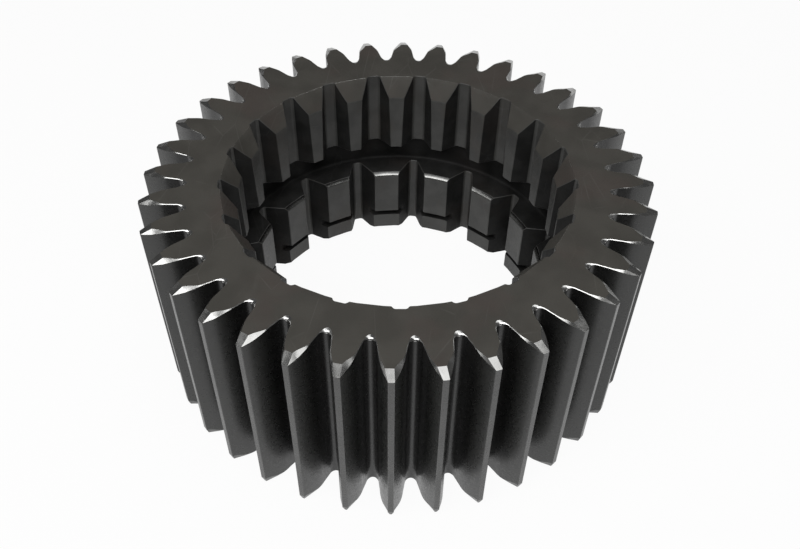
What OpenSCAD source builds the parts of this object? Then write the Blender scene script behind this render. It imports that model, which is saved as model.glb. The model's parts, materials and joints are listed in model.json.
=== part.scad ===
// Input shaft gear: a one-piece steel gear with 36 outer spur teeth and two toothed bands in its bore.
// Millimetres, +Z up. The origin is at the centre of the lower end face.

/* [Blank] */
// Diameter over the tips of the outer teeth
tip_d = 160; // [158:0.5:162]
// Height between the two end faces
height = 68.2; // [66:0.1:72]

/* [Outer teeth] */
// Number of outer teeth
outer_teeth = 36; // [35:1:37]
// Height of the teeth above the pitch circle, on which a tooth and a space are equally wide
addendum = 6.2; // [5.9:0.05:6.5]
// Full height of the teeth, from the bottom of the spaces to the tips
tooth_height = 13.1; // [12.7:0.05:13.5]
// Angle of the flank to the radius, on the pitch circle
pressure_angle = 16; // [15.5:0.1:16.5]
// Radius of the round bottom of each space
root_round = 1.9; // [1.7:0.05:2]

/* [Tooth end bevels] */
// Radial length of the bevel on each tip at the upper face
tip_bevel_run = 3.6; // [2.5:0.1:4]
// Height of the bevel on each tip at the upper face
tip_bevel_drop = 1.2; // [1:0.1:1.4]
// Width of the flank bevel at its widest, on the flank that faces anticlockwise
wide_bevel = 1.6; // [1.2:0.05:1.7]
// Width of the flank bevel at its widest, on the flank that faces clockwise
slim_bevel = 0.7; // [0.5:0.05:0.9]
// Width of both flank bevels at their narrowest, low on the flank
low_bevel = 0.3; // [0.2:0.05:0.4]
// Height of both flank bevels at their narrowest
low_drop = 0.15; // [0.1:0.05:0.2]
// Width of the bevel at the bottom of each space
root_bevel = 1.4; // [1.1:0.05:1.7]
// Height of the bevel at the bottom of each space
root_drop = 0.6; // [0.4:0.05:0.8]
// Radial length of the bevel on each tip at the lower face
lower_tip_run = 0.5; // [0.4:0.05:0.8]
// Height of the bevel on each tip at the lower face
lower_tip_drop = 1; // [0.7:0.1:1.4]
// Width of the lower end's flank bevels at the tips, which leaves each tip nearly pointed
lower_bevel = 0.55; // [0.45:0.05:0.55]
// Height of the lower end's flank bevels at the tips
lower_drop = 2.8; // [2:0.1:3.2]
// Size of the lower end's bevels at the bottoms of the spaces as a share of the upper end's
lower_root_share = 0.7; // [0.6:0.05:0.9]

/* [Clutch band] */
// Number of internal clutch teeth
clutch_teeth = 21; // [20:1:22]
// Height of the clutch teeth, from the bottom of their spaces to the tips
clutch_tooth_height = 5.4; // [5.2:0.05:5.7]
// Radial width of the lead-in cone, from the tips to its edge on the upper face
lead_run = 4.6; // [4.3:0.05:4.8]
// Depth at which the lead-in cone reaches the tooth tips
lead_depth = 6.2; // [5.4:0.1:7]
// Depth of the band's lower end below the upper face
clutch_depth = 27.8; // [26.8:0.1:28.6]
// Width of the flat bottom of a clutch tooth space
clutch_space_w = 3.8; // [3.4:0.1:4.2]
// Width of the tip at the end of the lead-in cone
clutch_land_w = 5.3; // [4.9:0.1:5.6]
// Width of the tip at the band's lower end, narrower so that the teeth hold in drive
clutch_land_end_w = 3.8; // [3.4:0.1:4.2]
// Angle of one clutch tooth space to an outer tooth
clutch_turn = -2.4; // [-8:0.1:8]
// Length of the rounding on each side of a corner at the bottom of a clutch or spline space
corner_round = 0.6; // [0.3:0.05:0.9]

/* [Relief groove] */
// Wall between the groove and the bottoms of the outer tooth spaces
relief_wall = 7.7; // [6.9:0.05:8.2]
// Height of the groove between the two bands
relief_h = 11.2; // [10.4:0.1:12]
// Radius of the groove's two corners
relief_round = 1; // [0.4:0.1:1.6]
// Step from the bottoms of the clutch tooth spaces out to the groove
clutch_step = 3.2; // [2.8:0.05:3.6]
// Step from the bottoms of the spline spaces out to the groove
spline_step = 2.2; // [1.8:0.05:2.6]

/* [Spline band] */
// Number of internal spline teeth
spline_teeth = 16; // [15:1:17]
// Height of the spline teeth, from the bottom of their spaces to the tips
spline_tooth_height = 8.2; // [7.8:0.05:8.5]
// Width of the tip of a spline tooth
spline_land_w = 8.9; // [8.3:0.1:9.3]
// Width of the flat bottom of a spline space
spline_space_w = 2.8; // [2.4:0.1:3.2]
// Size of the bevel along the upper front edge of each spline tooth
spline_bevel = 1.2; // [0.8:0.1:1.6]
// Angle of one spline space to an outer tooth
spline_turn = -5.1; // [-11:0.1:11]

/* [Retaining ring groove] */
// Height of the groove's lower edge above the lower face
ring_z = 7.4; // [7:0.1:8.4]
// Width of the groove
ring_w = 2.9; // [2.4:0.1:3.2]
// Depth of the groove below the spline tips
ring_depth = 3.6; // [3.2:0.05:4]
// Step from the spline tips back to the lip below the groove
lip_step = 1; // [0.6:0.05:1.4]
// Radial width of the bevel on the lip at the lower face
lip_bevel_run = 2.2; // [1.6:0.1:2.4]
// Height of the bevel on the lip at the lower face
lip_bevel_drop = 1.1; // [0.7:0.1:1.4]

/* [Hidden] */
// Radii, each from the one outside it
tip_r = tip_d / 2;
pitch_r = tip_r - addendum;
root_r = tip_r - tooth_height;
base_r = pitch_r * cos(pressure_angle);
relief_r = root_r - relief_wall;
clutch_root_r = relief_r - clutch_step;
clutch_tip_r = clutch_root_r - clutch_tooth_height;
lead_r = clutch_tip_r + lead_run;
spline_root_r = relief_r - spline_step;
spline_tip_r = spline_root_r - spline_tooth_height;
ring_r = spline_tip_r + ring_depth;
lip_r = spline_tip_r + lip_step;
// Heights of the steps in the bore above the lower face
clutch_end_z = height - clutch_depth;
spline_top_z = clutch_end_z - relief_h;
// How far a cutting shape runs past the surface that it cuts
over = 1;
// The same for the outer spaces, which stay clear of each other: past the end faces and past the tips
end_over = 0.1;
tip_over = 0.4;
// The involute starts this far above its base circle, and the flank below it is straight
flank_start_r = base_r + 0.6;
// Steps along one flank and along half of the round bottom of a space
flank_steps = 7;
round_steps = 4;
// Share of the way up the flank at which the flank bevels are widest
crest = 0.56;
// The revolved surfaces are true circles
$fn = 180;

// Involute of an angle, in degrees
function involute(a) = (tan(a) - a * PI / 180) * 180 / PI;

// Half of the angle that a tooth space spans at radius r
function half_space(r) =
    90 / outer_teeth + involute(acos(base_r / r)) - involute(pressure_angle);

// Point at radius r on the flank of a space whose middle lies along +X
function flank_point(r) = [r * cos(half_space(r)), r * sin(half_space(r))];

// The straight part of the flank runs from flank_start_r to where it touches the round bottom
round_x = root_r + root_round;
start_point = flank_point(flank_start_r);
to_start = [start_point.x - round_x, start_point.y];
lean = atan2(to_start.y, to_start.x) - asin(root_round / norm(to_start));

// Half of the outline of a space, from the middle of its bottom out past the tip circle
half_outline = concat(
    [for (i = [0 : round_steps])
        let (a = (90 - lean) * i / round_steps)
        [round_x - root_round * cos(a), root_round * sin(a)]],
    [for (i = [0 : flank_steps])
        flank_point(flank_start_r + (tip_r + tip_over - flank_start_r) * i / flank_steps)]
);

// Width of the upper end's bevel along half of the outline, for a given greatest width on the flank. It
// is wide at the bottom of the space, thin low on the flank, widest at the crest, and narrow at the tip.
function half_runs(widest) = concat(
    [for (i = [0 : round_steps])
        low_bevel + (root_bevel - low_bevel) * pow(cos(90 * i / round_steps), 3)],
    [for (i = [0 : flank_steps])
        low_bevel + (widest - low_bevel) * pow(sin(90 / crest * i / flank_steps), 2)]
);

// Height of the upper end's bevel along half of the outline. At the tip it equals that of the tip bevel.
half_drops = concat(
    [for (i = [0 : round_steps])
        low_drop + (root_drop - low_drop) * pow(cos(90 * i / round_steps), 3)],
    [for (i = [0 : flank_steps])
        low_drop + (tip_bevel_drop - low_drop) * pow(sin(90 * i / flank_steps), 2)]
);

// The same for the lower end, whose bevels grow towards the tips
half_lower_runs = concat(
    [for (i = [0 : round_steps])
        low_bevel + (root_bevel * lower_root_share - low_bevel) * pow(cos(90 * i / round_steps), 3)],
    [for (i = [0 : flank_steps])
        low_bevel + (lower_bevel - low_bevel) * pow(sin(90 * i / flank_steps), 4)]
);
half_lower_drops = concat(
    [for (i = [0 : round_steps])
        low_drop + (root_drop * lower_root_share - low_drop) * pow(cos(90 * i / round_steps), 3)],
    [for (i = [0 : flank_steps])
        low_drop + (lower_drop - low_drop) * pow(sin(90 * i / flank_steps), 4)]
);

// Joins the lists of a space's two halves, from tip to tip
function joined(first, second) = concat([for (i = [len(first) - 1 : -1 : 1]) first[i]], second);

outline = joined([for (p = half_outline) [p.x, -p.y]], half_outline);
runs = joined(half_runs(wide_bevel), half_runs(slim_bevel));
drops = joined(half_drops, half_drops);
lower_runs = joined(half_lower_runs, half_lower_runs);
lower_drops = joined(half_lower_drops, half_lower_drops);
outline_n = len(outline);
// Steps round a corner of the bore's spaces and of the relief groove
corner_steps = 3;

// Direction into the steel at point i of the outline: its unit normal, but round the axis at the two
// ends, so that they stay outside the tip circle
function into_steel(i) =
    let (p = outline[i], d = outline[min(i + 1, outline_n - 1)] - outline[max(i - 1, 0)])
    i == 0 || i == outline_n - 1 ? sign(p.y) * [-p.y, p.x] / norm(p) : [-d.y, d.x] / norm(d);

// The outline widened by bevels of given widths and heights, which run on past the end face to height z
function wide_ring(widths, heights, z) =
    [for (i = [0 : outline_n - 1])
        let (p = outline[i] + into_steel(i) * widths[i] * (1 + end_over / heights[i]))
        [p.x, p.y, z]];

// The outline itself, with each point at height z plus an offset
function plain_ring(offsets, z) =
    [for (i = [0 : outline_n - 1]) [outline[i].x, outline[i].y, z + offsets[i]]];

// Joins rings of n points, listed from the top down, into one closed solid. Strips across the first and
// the last ring, between the points on its two sides, close them.
module joined_rings(rings) {
    n = len(rings[0]);
    strips = [for (i = [0 : ceil(n / 2) - 2])
        i + 1 == n - 2 - i ? [i, i + 1, n - 1 - i] : [i, i + 1, n - 2 - i, n - 1 - i]];
    below = (len(rings) - 1) * n;
    lids = concat(strips, [for (s = strips) [for (i = [len(s) - 1 : -1 : 0]) s[i] + below]]);
    sides = [for (k = [0 : len(rings) - 2]) for (i = [0 : n - 1])
        let (a = k * n + i, b = k * n + (i + 1) % n)
        each [[a, a + n, b], [b, a + n, b + n]]];
    polyhedron([for (ring = rings) each ring], concat(lids, sides), 4);
}

// One outer tooth space, flared into the bevels at both ends
module outer_space() {
    joined_rings([
        wide_ring(runs, drops, height + end_over),
        plain_ring(-drops, height),
        plain_ring(lower_drops, 0),
        wide_ring(lower_runs, lower_drops, -end_over)
    ]);
}

// Width of the clutch teeth's tips at height z
function clutch_land(z) =
    let (down = (height - lead_depth - z) / (clutch_depth - lead_depth))
    clutch_land_w + (clutch_land_end_w - clutch_land_w) * down;

// Outline of a straight-sided space that opens towards the axis, with its bottom corners rounded
function space_outline(root_half_w, root_r0, tip_half_a, tip_r0) =
    let (
        root = [sqrt(root_r0 * root_r0 - root_half_w * root_half_w), root_half_w],
        mouth = tip_r0 * [cos(tip_half_a), sin(tip_half_a)],
        inner = mouth + (mouth - root) * 0.3,
        upper = root + (mouth - root) / norm(mouth - root) * corner_round,
        lower = root - [0, corner_round],
        half = concat([inner], [for (i = [0 : corner_steps])
            let (t = i / corner_steps)
            upper * pow(1 - t, 2) + root * 2 * t * (1 - t) + lower * pow(t, 2)])
    )
    concat(half, [for (i = [len(half) - 1 : -1 : 0]) [half[i].x, -half[i].y]]);

// Half of the angle between the tips of two neighbouring teeth with a given tip width
function half_mouth(count, land, r) = 180 / count - asin(land / 2 / r);

// One clutch tooth space, whose mouth widens towards the band's lower end
module clutch_space() {
    top_z = height + over;
    end_z = clutch_end_z - over;
    steps = 4;
    joined_rings([for (i = [0 : steps])
        let (z = top_z + (end_z - top_z) * i / steps)
        [for (p = space_outline(clutch_space_w / 2, clutch_root_r,
            half_mouth(clutch_teeth, clutch_land(z), clutch_tip_r), clutch_tip_r)) [p.x, p.y, z]]]);
}

// One spline space, straight from end to end
module spline_space() {
    translate([0, 0, -over])
        linear_extrude(spline_top_z + 2 * over)
            polygon(space_outline(spline_space_w / 2, spline_root_r,
                half_mouth(spline_teeth, spline_land_w, spline_tip_r), spline_tip_r));
}

// The groove's corner with the roof or the floor at height z: toward is 1 for the roof, -1 for the floor
function relief_corner(z, toward) =
    [for (i = [0 : corner_steps])
        let (a = 90 * i / corner_steps)
        [relief_r - relief_round * (1 - sin(a)), z - toward * relief_round * (1 - cos(a))]];

// The turned blank: every revolved surface of the gear
module blank() {
    roof = relief_corner(clutch_end_z, 1);
    floor_corner = relief_corner(spline_top_z, -1);
    rotate_extrude()
        polygon(concat([
            [lip_r, lip_bevel_drop],
            [lip_r + lip_bevel_run, 0],
            [tip_r - lower_tip_run, 0],
            [tip_r, lower_tip_drop],
            [tip_r, height - tip_bevel_drop],
            [tip_r - tip_bevel_run, height],
            [lead_r, height],
            [clutch_tip_r, height - lead_depth],
            [clutch_tip_r, clutch_end_z]
        ], roof, [for (i = [corner_steps : -1 : 0]) floor_corner[i]], [
            [spline_tip_r + spline_bevel, spline_top_z],
            [spline_tip_r, spline_top_z - spline_bevel],
            [spline_tip_r, ring_z + ring_w],
            [ring_r, ring_z + ring_w],
            [ring_r, ring_z],
            [lip_r, ring_z]
        ]));
}

// Repeats its children count times about the axis, the first one at the given angle
module around(count, first = 0) {
    for (i = [0 : count - 1])
        rotate([0, 0, first + 360 * i / count]) children();
}

module input_shaft_gear() {
    color([0.2, 0.2, 0.19])
        difference() {
            difference() {
                difference() {
                    blank();
                    around(spline_teeth, spline_turn) spline_space();
                }
                around(clutch_teeth, clutch_turn) clutch_space();
            }
            around(outer_teeth, 180 / outer_teeth) outer_space();
        }
}

input_shaft_gear();
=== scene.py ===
"""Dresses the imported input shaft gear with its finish, and sets up the floor, the lights and the camera.

The gear's shell is worked out with numpy: every wall, bevel and face is a patch, a grid of points in plan
(complex numbers x + iy) with a height for each point. Sizes are in millimetres, with the Z axis along the
bore and the lower end face at height 0. The finished mesh is in metres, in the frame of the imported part.
"""

from __future__ import annotations

import json
import logging
import math
from dataclasses import dataclass, field
from enum import Enum, IntEnum

import bmesh
import bpy
import numpy as np
from mathutils import Matrix, Vector

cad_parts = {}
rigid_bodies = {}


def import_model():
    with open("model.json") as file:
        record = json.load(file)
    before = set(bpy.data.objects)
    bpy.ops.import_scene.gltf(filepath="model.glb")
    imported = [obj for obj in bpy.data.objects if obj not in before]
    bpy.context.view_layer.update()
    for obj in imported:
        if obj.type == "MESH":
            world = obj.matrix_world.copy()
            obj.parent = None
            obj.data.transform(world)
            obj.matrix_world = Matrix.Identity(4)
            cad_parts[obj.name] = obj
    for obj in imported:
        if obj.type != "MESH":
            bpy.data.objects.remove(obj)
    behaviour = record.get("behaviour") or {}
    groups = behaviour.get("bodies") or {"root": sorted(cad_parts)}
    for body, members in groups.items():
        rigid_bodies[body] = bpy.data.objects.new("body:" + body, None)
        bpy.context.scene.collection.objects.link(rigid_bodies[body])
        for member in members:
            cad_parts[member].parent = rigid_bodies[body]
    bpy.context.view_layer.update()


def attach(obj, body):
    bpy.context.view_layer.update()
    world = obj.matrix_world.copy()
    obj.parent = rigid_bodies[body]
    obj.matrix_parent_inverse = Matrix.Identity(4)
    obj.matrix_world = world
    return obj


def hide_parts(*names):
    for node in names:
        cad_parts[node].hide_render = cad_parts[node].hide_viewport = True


LOG = logging.getLogger("input_shaft_gear")
MM = 0.001
MERGE_DISTANCE = 0.003 * MM
FULL_TURN = 2.0 * math.pi
QUARTER_TURN = math.pi / 2.0

# Columns of one side of an inner tooth: two on the flat bottom and three round the fillet, then at the tip.
FOOT_COLUMNS = 5
TIP_COLUMNS = 2

# Places of the colour sockets on a Mix node, which has others of the same names.
MIX_INPUTS = (0, 6, 7)
MIX_OUTPUT = 2

Colour = tuple[float, float, float]


class End(Enum):
    """The two ends of the gear."""

    UPPER = "upper"
    LOWER = "lower"


class Surface(IntEnum):
    """Kinds of surface on the gear. The value is the index of the material on the shell."""

    FACE = 0
    FLANK = 1
    LAND = 2
    BEVEL = 3
    EDGE = 4
    TOOTH = 5
    # Painted shade: the bore's walls, its grooves and the lip's ledge get a near-black copy of the inner
    # teeth's steel.
    BORE_SHADE = 6


def polar(radius: np.ndarray | float, angle: np.ndarray | float) -> np.ndarray:
    """Returns plan points from radii and angles in radians."""
    return np.asarray(radius * np.exp(1j * np.asarray(angle)))


def blend(start: np.ndarray, end: np.ndarray, share: np.ndarray) -> np.ndarray:
    """Returns the values that lie the given share of the way from start to end."""
    return start + (end - start) * share


def turned(pattern: np.ndarray, count: int, phase: float) -> np.ndarray:
    """Repeats plan points about the axis.

    Args:
        pattern: Plan points of one copy, of any shape.
        count: Number of copies in a full turn.
        phase: Angle of the first copy in radians.

    Returns:
        The points of all copies, with the copies along a new first axis.
    """
    turns = np.exp(1j * (phase + FULL_TURN * np.arange(count) / count))
    return turns.reshape((count,) + (1,) * pattern.ndim) * pattern


@dataclass
class Shell:
    """Collects patches and joins them into one closed mesh."""

    points: list[np.ndarray] = field(default_factory=list)
    faces: list[np.ndarray] = field(default_factory=list)
    surfaces: list[np.ndarray] = field(default_factory=list)
    patches: list[np.ndarray] = field(default_factory=list)
    size: int = 0

    def add(self, plan: np.ndarray, height: np.ndarray, faces: np.ndarray, surface: Surface) -> None:
        """Adds one patch.

        Args:
            plan: Plan points in mm, of any shape.
            height: Heights in mm, of a shape that broadcasts to the plan's.
            faces: Corner indices into the flattened plan, four to a face; a triangle repeats its last.
            surface: Kind of surface.
        """
        height = np.broadcast_to(height, plan.shape)
        self.points.append(np.stack([plan.real, plan.imag, height], axis=-1).reshape(-1, 3) * MM)
        self.faces.append(faces + self.size)
        self.surfaces.append(np.full(len(faces), int(surface)))
        self.patches.append(np.full(len(faces), len(self.patches)))
        self.size += plan.size

    def add_grid(self, plan: np.ndarray, height: np.ndarray, surface: Surface) -> None:
        """Adds one patch or several copies of it, with a face between each four neighbouring points.

        Args:
            plan: Plan points in mm, whose last two axes are rows and columns and whose others are copies.
            height: Heights in mm, of a shape that broadcasts to the plan's.
            surface: Kind of surface.
        """
        rows, columns = plan.shape[-2:]
        index = np.arange(plan.size).reshape(-1, rows, columns)
        corners = (index[:, :-1, :-1], index[:, :-1, 1:], index[:, 1:, 1:], index[:, 1:, :-1])
        self.add(plan, height, np.stack(corners, axis=-1).reshape(-1, 4), surface)

    def add_rings(self, rows: np.ndarray, height: np.ndarray, surface: Surface) -> np.ndarray:
        """Adds the surface through closed loops of as many points each, and returns the last loop."""
        self.add_grid(np.concatenate([rows, rows[:, :1]], axis=1), height, surface)
        return rows[-1]

    def add_skirt(self, loop: np.ndarray, radius: float, height: float, surface: Surface) -> np.ndarray:
        """Adds the flat ring between a closed loop and a circle, point for point at the same angles.

        Args:
            loop: Plan points of the loop, in order round the axis.
            radius: Radius of the circle in mm.
            height: Height of the ring in mm.
            surface: Kind of surface.

        Returns:
            The plan points on the circle.
        """
        return self.add_rings(np.stack([loop, polar(radius, np.angle(loop))]), np.array(height), surface)

    def add_turned(self, circle: np.ndarray, radii: np.ndarray, heights: np.ndarray,
                   surface: Surface) -> np.ndarray:
        """Adds a turned surface.

        Args:
            circle: Plan points of its first circle, which give the angles.
            radii: Radius of each circle in mm.
            heights: Height of each circle in mm.
            surface: Kind of surface.

        Returns:
            The plan points of its last circle.
        """
        return self.add_rings(polar(radii[:, None], np.angle(circle)), heights[:, None], surface)

    def add_zip(self, first: np.ndarray, second: np.ndarray, first_height: float,
                second_height: float, surface: Surface) -> None:
        """Adds the strip of triangles between two closed loops with different numbers of points.

        Both loops are put in order of their angles. Each edge of one loop makes a triangle with the point
        of the other loop that comes last before the edge's end, as the teeth of a zip close in turn.

        Args:
            first: Plan points of one loop.
            second: Plan points of the other loop.
            first_height: Height of the first loop in mm.
            second_height: Height of the second loop in mm.
            surface: Kind of surface.
        """
        first = first[np.argsort(np.angle(first) % FULL_TURN)]
        second = second[np.argsort(np.angle(second) % FULL_TURN)]
        first_angle, second_angle = (np.angle(loop) % FULL_TURN for loop in (first, second))
        n, m = len(first), len(second)
        to_second = (np.searchsorted(second_angle, first_angle, side="left") - 1) % m + n
        to_first = (np.searchsorted(first_angle, second_angle, side="right") - 1) % n
        a, b = np.arange(n), np.arange(m)
        faces = np.concatenate([
            np.stack([(a - 1) % n, a, to_second, to_second], axis=-1),
            np.stack([to_first, b + n, (b - 1) % m + n, (b - 1) % m + n], axis=-1),
        ])
        height = np.concatenate([np.full(n, first_height), np.full(m, second_height)])
        self.add(np.concatenate([first, second]), height, faces, surface)

    def build(self, name: str) -> bpy.types.Object:
        """Joins the patches into one object.

        Points that meet are merged, normals are turned outwards, and the edges between two patches are
        sharp, while each patch is smooth within itself.

        Args:
            name: Name of the object.

        Returns:
            The object, at the origin, with one material index for each kind of surface.
        """
        mesh = bpy.data.meshes.new(name)
        faces = np.concatenate(self.faces)
        corners = [f[:3] if f[2] == f[3] else f for f in faces.tolist()]
        mesh.from_pydata(np.concatenate(self.points), [], corners)
        mesh.polygons.foreach_set("material_index", np.concatenate(self.surfaces))
        mesh.attributes.new("patch", "INT", "FACE").data.foreach_set("value", np.concatenate(self.patches))

        form = bmesh.new()
        form.from_mesh(mesh)
        bmesh.ops.remove_doubles(form, verts=form.verts, dist=MERGE_DISTANCE)
        bmesh.ops.recalc_face_normals(form, faces=form.faces)
        form.to_mesh(mesh)
        form.free()

        patch = np.empty(len(mesh.polygons), dtype=np.int32)
        mesh.attributes["patch"].data.foreach_get("value", patch)
        corner_count = np.empty(len(mesh.polygons), dtype=np.int32)
        mesh.polygons.foreach_get("loop_total", corner_count)
        edge_of_corner = np.empty(len(mesh.loops), dtype=np.int32)
        mesh.loops.foreach_get("edge_index", edge_of_corner)
        patch_of_corner = np.repeat(patch, corner_count)
        lowest = np.full(len(mesh.edges), len(self.patches))
        highest = np.full(len(mesh.edges), -1)
        np.minimum.at(lowest, edge_of_corner, patch_of_corner)
        np.maximum.at(highest, edge_of_corner, patch_of_corner)
        mesh.polygons.foreach_set("use_smooth", np.ones(len(mesh.polygons), dtype=bool))
        mesh.attributes.new("sharp_edge", "BOOLEAN", "EDGE").data.foreach_set("value", lowest != highest)
        mesh.attributes.remove(mesh.attributes["patch"])
        mesh.update()

        gear = bpy.data.objects.new(name, mesh)
        bpy.context.scene.collection.objects.link(gear)
        return gear


@dataclass(frozen=True)
class ToothEnd:
    """Bevels at one end of the outer teeth: widths into the end face and heights on the wall, in mm.

    The growth is the power of the sine that the flank bevels follow from the low size to the full one.
    """

    tip_run: float
    tip_drop: float
    wide_run: float
    slim_run: float
    low_run: float
    low_drop: float
    root_run: float
    root_drop: float
    growth: float


@dataclass
class ToothSide:
    """One side of an outer tooth, from the middle of the space to the tip, for both ends of the tooth."""

    wall: np.ndarray
    edge: dict[End, np.ndarray]
    wall_depth: dict[End, np.ndarray]
    edge_depth: dict[End, np.ndarray]
    crest: dict[End, int]
    bulge: np.ndarray


@dataclass
class OuterTeeth:
    """The outer spur teeth: involute flanks, round-bottomed spaces and bevelled ends."""

    count: int = 36
    tip_r: float = 80.0
    height: float = 68.2
    addendum: float = 6.2
    tooth_height: float = 13.1
    pressure_angle: float = math.radians(16.0)
    root_round: float = 1.9
    tip_edge: float = 0.15
    flank_start_over: float = 0.6
    face_circle_r: float = 63.6
    bulge_power: int = 5
    round_points: int = 9
    flank_points: int = 9
    tip_points: int = 4
    land_points: int = 4
    bevel_rows: int = 5
    ends: dict[End, ToothEnd] = field(default_factory=lambda: {
        End.UPPER: ToothEnd(tip_run=3.6, tip_drop=1.2, wide_run=1.6, slim_run=0.6, low_run=0.16,
                            low_drop=0.14, root_run=1.4, root_drop=0.9, growth=2.0),
        End.LOWER: ToothEnd(tip_run=0.7, tip_drop=2.8, wide_run=0.8, slim_run=0.8, low_run=0.25,
                            low_drop=0.2, root_run=0.8, root_drop=0.45, growth=4.0)})

    def __post_init__(self) -> None:
        """Works out the radii that the flanks hang on."""
        self.pitch_r = self.tip_r - self.addendum
        self.base_r = self.pitch_r * math.cos(self.pressure_angle)
        self.root_r = self.tip_r - self.tooth_height
        self.half_pitch = math.pi / self.count

    def lean(self, radius: np.ndarray | float) -> np.ndarray:
        """Returns the flank's angle to the radius: its cosine is the base radius over the radius."""
        return np.arccos(self.base_r / np.asarray(radius))

    def flank(self, radius: np.ndarray) -> np.ndarray:
        """Works out the involute flank of a space whose middle lies along +X.

        Half of the space's angle is a quarter of the pitch on the pitch circle, plus the involute of the
        flank's lean, tan(lean) - lean, less the involute of the pressure angle.

        Args:
            radius: Radii in mm.

        Returns:
            A plan point for each radius.
        """
        lean = self.lean(radius)
        start = math.tan(self.pressure_angle) - self.pressure_angle
        return polar(radius, self.half_pitch / 2 + np.tan(lean) - lean - start)

    def round_bottom(self, flank_start: complex) -> np.ndarray:
        """Works out the round bottom of a space, an arc about a point on +X.

        The arc ends where a straight line from the lowest point of the involute touches it.

        Args:
            flank_start: Lowest point of the involute flank.

        Returns:
            Plan points from the middle of the bottom to the end of the arc.
        """
        centre = self.root_r + self.root_round
        away = flank_start - centre
        meeting = np.angle(away) - math.asin(self.root_round / abs(away))
        turn = np.linspace(0.0, QUARTER_TURN - meeting, self.round_points)
        return centre - self.root_round * np.exp(-1j * turn)

    def side(self, widths: dict[End, float]) -> ToothSide:
        """Works out one side of a tooth, with the space's middle along +X and the tooth beyond it.

        At each end, the bevel leaves the wall at a depth and ends on the end face a width into the steel.
        Up the flank the width grows with a power of a sine from the low width to the full one at the
        crest, and the depth likewise towards that of the tip bevel. Past the crest, the bevel ends on the
        straight line where it meets the cone of the tip bevel.

        Args:
            widths: Greatest width of the flank bevel at each end.

        Returns:
            The side's points and depths, from the middle of the space to the last point before the tip.
        """
        start_r = self.base_r + self.flank_start_over
        last_r = self.tip_r - self.tip_edge
        crest_r = {}
        for name, end in self.ends.items():
            cone_r = self.tip_r - end.tip_run
            crest_r[name] = cone_r + widths[name] * math.sin(self.lean(cone_r))
        radii = np.concatenate([
            np.linspace(start_r, crest_r[End.UPPER], self.flank_points),
            np.linspace(crest_r[End.UPPER], crest_r[End.LOWER], self.tip_points)[1:],
            np.linspace(crest_r[End.LOWER], last_r, self.tip_points)[1:],
        ])
        arc = self.round_bottom(complex(self.flank(np.array(start_r))))
        wall = np.concatenate([arc, self.flank(radii)])
        along = np.gradient(np.concatenate([wall[1:2].conj(), wall]))[1:]
        into_steel = 1j * along / abs(along)
        first_crest = self.round_points + self.flank_points - 1
        crest = {End.UPPER: first_crest, End.LOWER: first_crest + self.tip_points - 1}
        radius = abs(wall)
        index = np.arange(len(wall))
        on_arc = index < self.round_points
        rounding = np.cos(QUARTER_TURN * index / (self.round_points - 1)) ** self.bulge_power
        bulge = np.where(on_arc, rounding, 0)

        side = ToothSide(wall, {}, {}, {}, crest, bulge)
        for name, end in self.ends.items():
            rise = np.clip((radius - start_r) / (crest_r[name] - start_r), 0.0, 1.0)
            run = blend(end.low_run, widths[name], np.sin(QUARTER_TURN * rise) ** end.growth)
            run = np.where(on_arc, blend(end.low_run, end.root_run, bulge), run)
            climb = np.clip((radius - start_r) / (self.tip_r - start_r), 0.0, 1.0)
            depth = blend(end.low_drop, end.tip_drop, np.sin(QUARTER_TURN * climb) ** end.growth)
            depth = np.where(on_arc, blend(end.low_drop, end.root_drop, bulge), depth)
            edge = wall + into_steel * run
            edge_depth = np.zeros(len(wall))

            k = crest[name]
            cone_r = self.tip_r - end.tip_run
            share = (radius[k:] - radius[k]) / (radius[-1] - radius[k])
            line_r = blend(cone_r, radius[-1], share)
            line_angle = blend(np.angle(edge[k]), np.angle(wall[-1]), share)
            edge[k:] = polar(line_r, line_angle)
            edge_depth[k:] = (line_r - cone_r) / end.tip_run * end.tip_drop
            depth[k:] = blend(depth[k], edge_depth[-1], share)
            side.edge[name], side.wall_depth[name], side.edge_depth[name] = edge, depth, edge_depth
        return side

    def build(self, shell: Shell) -> dict[End, np.ndarray]:
        """Adds the teeth to the shell.

        Args:
            shell: Shell to add to.

        Returns:
            For each end, the plan points of the circle inside the teeth on that end's face.
        """
        slim = self.side({name: end.slim_run for name, end in self.ends.items()})
        wide = self.side({name: end.wide_run for name, end in self.ends.items()})
        back = np.exp(-1j * self.half_pitch)
        corner_turn = self.tip_edge / self.tip_r
        slim_tip, wide_tip = np.angle(slim.wall[-1] * back), -np.angle(wide.wall[-1] * back)
        land = polar(self.tip_r, np.linspace(slim_tip + corner_turn, wide_tip - corner_turn,
                                             self.land_points))
        wall = np.concatenate([slim.wall * back, land, (wide.wall * back).conj()[::-1]])
        depths = {name: np.concatenate([slim.wall_depth[name], np.full(len(land), end.tip_drop),
                                        wide.wall_depth[name][::-1]]) for name, end in self.ends.items()}
        heights = np.stack([depths[End.LOWER], self.height - depths[End.UPPER]])
        n, m = len(slim.wall), len(wall) - len(wide.wall)
        for first, last, surface in ((0, n, Surface.FLANK), (n - 1, n + 1, Surface.LAND),
                                     (n, m, Surface.LAND), (m - 1, m + 1, Surface.LAND),
                                     (m, len(wall), Surface.FLANK)):
            plan = turned(np.stack([wall[first:last]] * 2), self.count, 0.0)
            shell.add_grid(plan, heights[:, first:last], surface)

        rims = {}
        for name in self.ends:
            for side, mirror in ((slim, False), (wide, True)):
                self.add_flank_bevel(shell, side, name, mirror)
            rims[name] = self.add_tip_bevel(shell, slim, wide, wall, name)
        circles = {}
        for name, rim in rims.items():
            loop = turned(rim[:-1], self.count, 0.0).reshape(-1)
            circles[name] = shell.add_skirt(loop, self.face_circle_r, self.level(name, 0.0), Surface.FACE)
        return circles

    def level(self, name: End, depth: np.ndarray | float) -> np.ndarray | float:
        """Returns heights for depths below the upper face, or above the lower one."""
        return self.height - depth if name is End.UPPER else depth

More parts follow.
